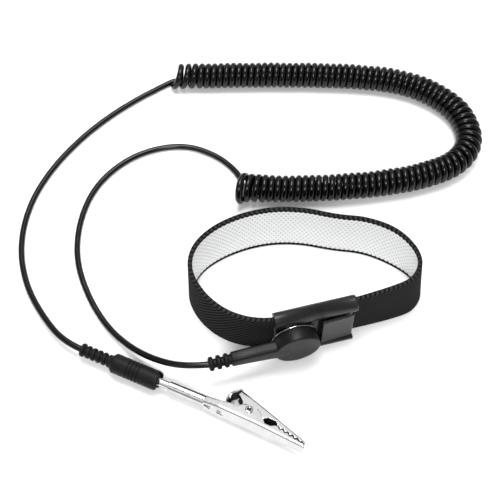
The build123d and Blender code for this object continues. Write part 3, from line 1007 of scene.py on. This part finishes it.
# ---- snap head
SNAP = (-9.3, 10.2)
HEAD_RADIUS = 8.0
HEAD_FRONT = -31.2
HEAD_BACK = -26.2
ARM_Y = -28.8
ARM_END = -32.4
ARM_CORNER = 1.2
RELIEF_END = -40.2
SNAP_CENTRE = mm(SNAP[0], 0, SNAP[1])
BACKWARDS = Vector((0, 1, 0))
# the arm's sections: x, how far the middle comes forward, depth and height
ARM_SECTIONS = (
    (-12.5, 0.22, 4.4, 6.9), (-17.0, 0.2, 4.4, 6.5), (-20.0, 0.1, 4.32, 6.2),
    (-26.5, 0, 4.2, 5.6), (-31.9, 0, 4.05, 5.1), (-32.25, 0, 3.85, 4.9), (ARM_END, 0, 3.4, 4.5))


def arm_section(depth, height):
    """A rounded rectangle (y, z) about the arm's middle."""
    points = []
    for index, (side, rise) in enumerate(((1, 1), (-1, 1), (-1, -1), (1, -1))):
        centre = (side * (depth / 2 - ARM_CORNER), rise * (height / 2 - ARM_CORNER))
        points += arc(centre, ARM_CORNER, 90 * index, 90 * index + 90, 6)
    return points


def build_head():
    """The round snap head with its tapering arm."""
    shape = Shape()
    rim = arc((HEAD_RADIUS - 0.5, HEAD_FRONT + 0.5), 0.5, -15, -90, 5)
    profile = [(HEAD_BACK, 4.25), (HEAD_BACK, 7.8), (HEAD_BACK - 0.06, 7.94),
               (HEAD_BACK - 0.2, HEAD_RADIUS), (HEAD_FRONT + 0.5, HEAD_RADIUS)]
    profile += [(y, radius) for radius, y in rim]
    profile += [(HEAD_FRONT, 6.5), (HEAD_FRONT - 0.02, 0.0)]
    profile += [(HEAD_BACK - 1.6, 0.0), (HEAD_BACK - 1.6, 4.25)]
    shape.turned(profile, SNAP_CENTRE, BACKWARDS, 96)
    shape.skin([[mm(x, ARM_Y - forward + y, SNAP[1] + z)
                 for y, z in arm_section(depth, height)]
                for x, forward, depth, height in ARM_SECTIONS])
    shape.build("snap_head_body", plastic_finish(), "snap_head",
                ("head_shell", "head_cap"), rough=40)


def build_washer():
    """The thin metal washer behind the head, its rim just showing."""
    shape = Shape()
    ring = [(0, 3.2), (0, 7.98), (0.06, 8.03), (0.2, 8.03), (0.3, 7.95), (0.3, 3.2), (0, 3.2)]
    profile = [(HEAD_BACK + along, radius) for along, radius in ring]
    shape.turned(profile, SNAP_CENTRE, BACKWARDS, 96, caps=False)
    shape.build("head_washer", nickel_finish(), "snap_head",
                ("head_back_washer",), rough=40)


def build_head_relief():
    """The ribbed sleeve between the arm and the cord."""
    shape = Shape()
    reach = ARM_END - RELIEF_END
    pitch, width = 2.65, 1.6
    profile = [(0.0, 1.2), (0.0, 1.9), (0.9, 1.75)]
    profile += ribs(reach - width - 2 * pitch, pitch, 3, 2.5, 1.6, width)
    profile += [(reach, 1.5), (reach, 1.16)]
    shape.turned(profile, mm(ARM_END, ARM_Y, SNAP[1]), Vector((-1, 0, 0)), 40)
    shape.build("head_relief", soft_finish(), "snap_head",
                ("head_strain_relief",), rough=50)


class WRISTSTRAP_OT_head(bpy.types.Operator):
    """Moulds the snap head, its arm and its strain relief"""

    bl_idname = "wrist_strap.head"
    bl_label = "Snap head"

    def execute(self, context):
        build_head()
        build_washer()
        build_head_relief()
        return {"FINISHED"}


# ---- plug
HOUSING_START = 12.0
HOUSING_END = 30.4
HOUSING_RADIUS = 3.5
MOUTH_START = 27.5
MOUTH_RADIUS = 2.5
GROOVES_START = 18.6
GROOVE_PITCH = 1.35
# places along the plug, and how far each lies inside the housing's radius
GROOVE = ((-0.08, 0), (0, 0.08), (0.1, 0.35), (0.5, 0.35), (0.6, 0.08), (0.68, 0))


def mouth_bite(along, angle):
    """How far the scalloped mouth is cut back at an angle."""
    reach = max(0.0, min(1.0, (along - MOUTH_START) / (HOUSING_END - MOUTH_START)))
    return -1.7 * reach * max(0.0, cos(2 * angle)) ** 2.2


def build_plug():
    """The plug's moulded housing with finger grooves, and its ribbed relief."""
    housing = Shape()
    profile = [(HOUSING_START, 1.5), (HOUSING_START, 2.5)]
    outline = [(HOUSING_START + 1.0, 0.05), (HOUSING_START + 1.3, 0)]
    outline += [(GROOVES_START + GROOVE_PITCH * groove + along, depth)
               for groove in range(4) for along, depth in GROOVE]
    outline += [(26.0, 0), (28.2, 0), (29.2, 0), (29.9, 0.05), (30.2, 0.17), (HOUSING_END, 0.4)]
    profile += [(along, HOUSING_RADIUS - depth) for along, depth in outline]
    profile += [(HOUSING_END, MOUTH_RADIUS + 0.1), (30.2, MOUTH_RADIUS), (28.5, MOUTH_RADIUS),
                (26.4, MOUTH_RADIUS), (26.4, 1.5), (16.0, 1.5)]
    housing.turned(profile, PLUG_START, ALONG, 96, start=radians(35), stretch=mouth_bite)
    housing.build("plug_shell", soft_finish(), "lead",
                  ("plug_housing",), rough=38)
    relief = Shape()
    profile = [(0.0, 1.2), (0.0, 1.6)] + ribs(0.15, 2.1, 6, 2.3, 1.65, 1.35, first=2.45)
    profile += [(HOUSING_START, 1.65), (HOUSING_START, 1.2)]
    relief.turned(profile, PLUG_START, ALONG, 40)
    relief.build("plug_relief", soft_finish(), "lead",
                 ("plug_strain_relief",), rough=50)


class WRISTSTRAP_OT_plug(bpy.types.Operator):
    """Moulds the plug's housing and strain relief"""

    bl_idname = "wrist_strap.plug"
    bl_label = "Plug"

    def execute(self, context):
        build_plug()
        return {"FINISHED"}


# ---- clip
BARREL_START = 34.2
BARREL_END = 48.5
CHANNEL_START = 47.5
JAW_TIP = 84.2
PIVOT = (62.9, 1.5)
TEETH_START = (74.0, 0.1)
TEETH_END = (83.4, -1.7)
TOOTH_COUNT = 5
TOOTH_HEIGHT = 0.75
JAW_GAP = 0.8
FOLD_RADIUS = 0.85
STATION_GAP = 0.45
BARREL_RADIUS = 1.95
BARREL_BORE = 1.5
SEAM = radians(30)
PAD_MIDDLE = (57.6, 4.65)
PAD_RADIUS = 4.05
PAD_HALF = 2.3
PAD_DISH = 1.1
PAD_ROWS = 44
PAD_COLUMNS = 32
DOT_ROWS = 7
DOT_COLUMNS = 5
DOT_HEIGHT = 0.22
SPRING_RADIUS = 1.3
SPRING_TURNS = 3
SPRING_WIRE = 0.45


def teeth(lift):
    """One jaw's zigzag from the throat to the tip."""
    points = [(TEETH_START[0], TEETH_START[1] + lift)]
    run = (TEETH_END[0] - TEETH_START[0]) / TOOTH_COUNT
    rise = (TEETH_END[1] - TEETH_START[1]) / TOOTH_COUNT
    for tooth in range(TOOTH_COUNT):
        s = TEETH_START[0] + run * tooth
        t = TEETH_START[1] + rise * tooth + lift
        points.append((s + run / 2, t + rise / 2 - TOOTH_HEIGHT))
        points.append((s + run, t + rise))
    return points


def between(points, s):
    """The height of a side-view line at s."""
    return at_measure([point[0] for point in points], [point[1] for point in points], s)


def folded_jaw(shape, spine, edge, widths, way, dimples=(), holes=()):
    """A jaw folded from sheet: a web along the spine and two walls up to a shaped edge.

    way is 1 when the walls stand towards the clip's opening and -1 when they stand away.
    Holes are not cut: their faces in the web take the dark metal, painted shade for the punched
    openings.
    """
    thick = sizes().sheet_thick * 1000
    stations = {point[0] for line in (spine, edge, widths) for point in line}
    low, high = spine[0][0], spine[-1][0]
    steps = round((high - low) / STATION_GAP)
    stations |= {low + (high - low) * step / steps for step in range(steps + 1)}
    rows = []
    dark = set()
    last = low - 1
    for s in sorted(stations):
        if s - last < 0.04:
            continue
        last = s
        base = between(spine, s)
        top = max(way * (between(edge, s) - base), FOLD_RADIUS + 0.1)
        half = between(widths, s)
        outside = section_path(half, top, FOLD_RADIUS, 0.0)
        inside = section_path(half - thick, top, FOLD_RADIUS - thick, thick)
        row = []
        for w, rise in outside + inside[::-1]:
            for place_s, place_w, reach, depth in dimples:
                distance = sqrt((s - place_s) ** 2 + (w - place_w) ** 2)
                if rise < FOLD_RADIUS:
                    rise += depth * fade(distance / reach)
            for place_s, place_w, long, wide in holes:
                away = ((s - place_s) / long) ** 2 + ((w - place_w) / wide) ** 2
                if rise < FOLD_RADIUS and away < 1:
                    dark.add((len(rows), len(row)))
            row.append(on_clip(s, base + way * rise, w))
        rows.append(row)
    # painted shade: the jaw's inner side and the holes take the dark metal
    shape.skin(rows, lined=lambda row, column: (
        len(outside) - 1 <= column or (row, column) in dark))


def section_path(half, top, corner, floor_rise):
    """A folded section: down one wall, across the web and up the other wall."""
    bend = arc((half - corner, floor_rise + corner), corner, 0, -90, 5)
    wall = [(half, top + (floor_rise + corner - top) * share / 4) for share in range(4)]
    web = [((half - corner) * (1 - share / 12), floor_rise) for share in range(1, 13)]
    right = wall + bend + web
    left = [(-w, rise) for w, rise in reversed(right[:-1])]
    return right + left


def build_lower_jaw():
    """The lower jaw with its ears, teeth and rolled barrel."""
    shape = Shape()
    ear = arc((63.2, -1.7), 5.3, 158, 22, 14)
    edge = [(CHANNEL_START, 0.6), (53.0, 0.6), (57.4, 1.5)]
    edge += [(s, t) for s, t in ear if 57.9 < s < 68.2]
    edge += [(68.6, 0.3), (69.5, -1.0), (71.6, -1.0), (73.2, 0.1)] + teeth(0) + [(JAW_TIP, -1.95)]
    spine = [(CHANNEL_START, -1.95), (JAW_TIP, -3.05)]
    widths = [(CHANNEL_START, 2.15), (53.0, 3.1), (66.0, 3.1), (JAW_TIP, 1.9)]
    # the two holes are painted dark as shade, not cut
    folded_jaw(shape, spine, edge, widths, 1,
               dimples=((53.4, 0.0, 1.3, 1.0), (49.6, 0.2, 1.0, 0.9)),
               holes=((48.4, 0.5, 0.75, 0.55), (54.3, -0.6, 0.4, 0.4)))
    roll_barrel(shape)
    shape.build("clip_lower", nickel_finish(), "clip",
                ("clip_lower_jaw",), bevel=0.00006, rough=40)


def roll_barrel(shape):
    """The barrel rolled from the lower jaw's sheet, open along its seam."""
    seam_way = CLIP_UP * cos(SEAM) - CLIP_OUT * sin(SEAM)
    cross_way = ALONG.cross(seam_way)
    wrap = [seam_way * cos(radians(turn)) + cross_way * sin(radians(turn))
            for turn in range(5, 356, 5)]
    rows = []
    for s, squeeze in ((BARREL_START, 0.1), (BARREL_START + 0.15, 0), (41.0, 0),
                       (BARREL_END - 0.15, 0), (BARREL_END, 0.1)):
        outer = [(way, BARREL_RADIUS - squeeze) for way in wrap]
        inner = [(way, BARREL_BORE) for way in reversed(wrap)]
        rows.append([PLUG_START + (ALONG * s + way * radius) * 0.001
                     for way, radius in outer + inner])
    # painted shade: the barrel's inside and its seam's edges take the dark metal, for a dark seam
    shape.skin(rows, lined=lambda row, column: column >= len(wrap) - 1)


def build_upper_jaw():
    """The upper jaw with its teeth and the dotted thumb pad behind the pivot."""
    shape = Shape()
    spine = [(57.2, 8.7), (JAW_TIP, -0.45)]
    edge = [(57.2, 6.3), (57.8, 6.0), (59.6, 4.2), (60.6, 0.8), (61.4, -0.3), (62.9, -0.7),
            (64.6, -0.35), (66.0, 0.2), (68.4, 0.9), (69.9, 2.1), (72.6, 2.1), (73.8, 0.7)]
    edge += teeth(JAW_GAP) + [(JAW_TIP, -1.6)]
    widths = [(57.2, 2.2), (60.0, 2.3), (69.0, 2.3), (JAW_TIP, 1.9)]
    folded_jaw(shape, spine, edge, widths, -1)
    build_thumb_pad(shape)
    shape.build("clip_upper", nickel_finish(), "clip_upper_jaw",
                ("clip_upper_jaw",), bevel=0.00006, rough=40)


def build_thumb_pad(shape):
    """The thumb pad: a dished sheet curling down behind the pivot, with pressed dots."""
    thick = sizes().sheet_thick * 1000
    middle_s, middle_t = PAD_MIDDLE
    rings = []
    for row in range(PAD_ROWS + 1):
        share = row / PAD_ROWS
        turn = radians(88 + 112 * share)
        half = PAD_HALF * (1.0 - 0.25 * max(0.0, share - 0.75) / 0.25)
        outer = []
        for column in range(PAD_COLUMNS + 1):
            side = 2 * column / PAD_COLUMNS - 1
            reach = PAD_RADIUS - PAD_DISH * side ** 2 * fade((0.3 - share) / 0.3)
            if 0.1 < share < 0.95:
                reach += dot_height(share * DOT_ROWS - 0.5, (side + 1) * DOT_COLUMNS / 2)
            outer.append((reach, half * side))
        inner = [(reach - thick, w) for reach, w in reversed(outer)]
        rings.append([on_clip(middle_s + reach * cos(turn), middle_t + reach * sin(turn), w)
                      for reach, w in outer + inner])
    # painted shade: the pad's underside and the hollows beside its dots take the dark metal
    shape.skin(rings, lined=lambda row, column: (
        column > PAD_COLUMNS
        or shaded_dot_hollow(row / PAD_ROWS * DOT_ROWS, column / PAD_COLUMNS * DOT_COLUMNS)))


def shaded_dot_hollow(row, column):
    """Whether a place on the thumb pad lies in the hollow beside a dot, which is painted dark as
    shade.
    """
    return (row - floor(row) - 0.5) ** 2 + (column - floor(column) - 0.2) ** 2 < 0.07


def dot_height(row, column):
    """The height in millimetres of a round dot in each cell of a grid."""
    reach = sqrt((row - floor(row) - 0.5) ** 2 + (column - floor(column) - 0.5) ** 2)
    return DOT_HEIGHT * fade(reach / 0.36)


def build_rivet_and_spring():
    """The hollow pivot rivet and the torsion spring wound round it."""
    pivot = on_clip(*PIVOT)
    shape = Shape()
    end = [(3.15, 0.95), (3.12, 1.35), (3.3, 1.38), (3.5, 1.2),
           (3.5, 0.9), (3.3, 0.75), (3.2, 0.0)]
    profile = [(-along, radius) for along, radius in reversed(end)] + end
    # painted shade: the rivet's two hollow ends take the dark metal
    shaded_hollows = (0, len(profile) - 2)
    shape.turned(profile, pivot, CLIP_UP, 36, caps=False,
                 lined=lambda row, column: row in shaded_hollows)
    shape.build("clip_rivet", nickel_finish(), "clip",
                ("clip_pivot_rivet",), rough=50)
    steps = 14
    points = [on_clip(55.5, -1.25, -1.4), on_clip(59.0, -0.3, -1.4)]
    for step in range(SPRING_TURNS * steps + 1):
        turn = tau * step / steps - 0.6 * pi
        points.append(on_clip(
            PIVOT[0] + SPRING_RADIUS * cos(turn), PIVOT[1] + SPRING_RADIUS * sin(turn),
            -1.3 + 2.4 * step / (SPRING_TURNS * steps)))
    points += [on_clip(62.2, 2.9, 1.3), on_clip(61.3, 4.2, 1.3)]
    spring = spline_object("clip_torsion_spring", points, 4, SPRING_WIRE / 2000)
    spring.data.use_fill_caps = True
    spring.data.materials.append(steel_finish())
    settle(spring, "clip", ("clip_spring",))


class WRISTSTRAP_OT_clip(bpy.types.Operator):
    """Folds the alligator clip's jaws and fits its rivet and spring"""

    bl_idname = "wrist_strap.clip"
    bl_label = "Clip"

    def execute(self, context):
        build_lower_jaw()
        build_upper_jaw()
        build_rivet_and_spring()
        return {"FINISHED"}


# ---- parts kept from the model
KEPT_FINISHES = {
    "contact_plate": stainless_finish,
    "plate_rivets": nickel_finish,
    "snap_stud": nickel_finish,
    "stud_eyelet": nickel_finish,
    "lever_pin": steel_finish,
    "snap_socket": nickel_finish,
    "socket_ring_spring": steel_finish,
    "resistor_body": resistor_finish,
    "resistor_leads": steel_finish,
    "head_crimp": nickel_finish,
    "plug_crimp": nickel_finish,
    "banana_pin": nickel_finish,
    "pin_cage_spring": brass_finish,
}


class WRISTSTRAP_OT_fittings(bpy.types.Operator):
    """Gives the metal fittings that come from the model their finishes"""

    bl_idname = "wrist_strap.fittings"
    bl_label = "Metal fittings"

    def execute(self, context):
        for name, make in KEPT_FINISHES.items():
            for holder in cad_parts[name].material_slots:
                holder.material = make()
        return {"FINISHED"}


# ---- stage
TABLE_REACH = 2.5
LENS = 73.77
LOOKED_AT = Vector((-0.015, 0.021, 0.0))
LIT_PLACE = Vector((0.0, 0.03, 0.0))


class WRISTSTRAP_OT_stage(bpy.types.Operator):
    """Sets the table, the soft lights and the camera"""

    bl_idname = "wrist_strap.stage"
    bl_label = "Stage"

    def execute(self, context):
        scene = context.scene
        place_camera(scene)
        build_table(scene)
        soft_light("overhead light", (0.0, 0.17, 0.62), 0.32, 4.3)
        soft_light("front light", (-0.085, -0.32, 0.44), 0.13, 1.5)
        soft_light("left light", (-0.31, -0.21, 0.44), 0.3, 0.25)
        soft_light("back softbox", (0.235, 0.56, 0.67), 0.8, 1.7)
        world = bpy.data.worlds.new("pale room")
        world.use_nodes = True
        background = world.node_tree.nodes["Background"]
        background.inputs["Color"].default_value = (1, 1, 1, 1)
        background.inputs["Strength"].default_value = 0.5
        scene.world = world
        scene.view_settings.view_transform = "Standard"
        return {"FINISHED"}


def place_camera(scene):
    """A camera on its azimuth and elevation, looking at the middle of the object."""
    size = sizes()
    flat = size.camera_distance * cos(size.camera_height)
    offset = Vector((flat * sin(size.camera_side), -flat * cos(size.camera_side),
                     size.camera_distance * sin(size.camera_height)))
    lens = bpy.data.cameras.new("camera")
    lens.lens = LENS
    lens.sensor_width = 36
    lens.clip_start = 0.01
    lens.clip_end = 20
    camera = bpy.data.objects.new("camera", lens)
    camera.location = LOOKED_AT + offset
    camera.rotation_euler = (-offset).to_track_quat("-Z", "Y").to_euler()
    scene.collection.objects.link(camera)
    scene.camera = camera


def build_table(scene):
    """A wide table top with a barely visible tooth."""
    finish = Finish("pale table", colours().table, 0.8, specular_ior_level=0.2)
    finish.bump(finish.noise(0.002), 0.00002)
    ticks = [TABLE_REACH * (step / 4 - 1) for step in range(9)]
    shape = Shape()
    shape.skin([[Vector((x, y, 0)) for x in ticks] for y in ticks], wrap=False)
    table = bpy.data.objects.new("table", shape.mesh("table", finish.material))
    scene.collection.objects.link(table)


def soft_light(name, place, width, energy):
    """A square soft light aimed at the object."""
    lamp = bpy.data.lights.new(name, "AREA")
    lamp.size = width
    lamp.energy = energy
    light = bpy.data.objects.new(name, lamp)
    light.location = place
    aim = LIT_PLACE - Vector(place)
    light.rotation_euler = aim.to_track_quat("-Z", "Y").to_euler()
    bpy.context.scene.collection.objects.link(light)


# ---- add-on
class WRISTSTRAP_PT_panel(bpy.types.Panel):
    """Lists the steps that build the wrist strap"""

    bl_idname = "WRISTSTRAP_PT_panel"
    bl_label = "Wrist strap"
    bl_space_type = "VIEW_3D"
    bl_region_type = "UI"
    bl_category = "Wrist strap"

    def draw(self, context):
        for step in STEPS:
            self.layout.operator(step.bl_idname)
        for group in (context.scene.strap_sizes, context.scene.strap_colours):
            for label in group.__annotations__:
                self.layout.prop(group, label)


STEPS = (WRISTSTRAP_OT_stage, WRISTSTRAP_OT_plug, WRISTSTRAP_OT_clip, WRISTSTRAP_OT_cord,
         WRISTSTRAP_OT_band, WRISTSTRAP_OT_buckle, WRISTSTRAP_OT_head, WRISTSTRAP_OT_fittings)
CLASSES = (StrapSizes, StrapColours) + STEPS + (WRISTSTRAP_PT_panel,)


def register():
    for each in CLASSES:
        bpy.utils.register_class(each)
    bpy.types.Scene.strap_sizes = PointerProperty(type=StrapSizes)
    bpy.types.Scene.strap_colours = PointerProperty(type=StrapColours)


def unregister():
    del bpy.types.Scene.strap_colours
    del bpy.types.Scene.strap_sizes
    for each in reversed(CLASSES):
        bpy.utils.unregister_class(each)


def main():
    register()
    bpy.ops.wrist_strap.stage()
    bpy.ops.wrist_strap.plug()
    bpy.ops.wrist_strap.clip()
    bpy.ops.wrist_strap.cord()
    bpy.ops.wrist_strap.band()
    bpy.ops.wrist_strap.buckle()
    bpy.ops.wrist_strap.head()
    bpy.ops.wrist_strap.fittings()


if __name__ == "__main__":
    main()
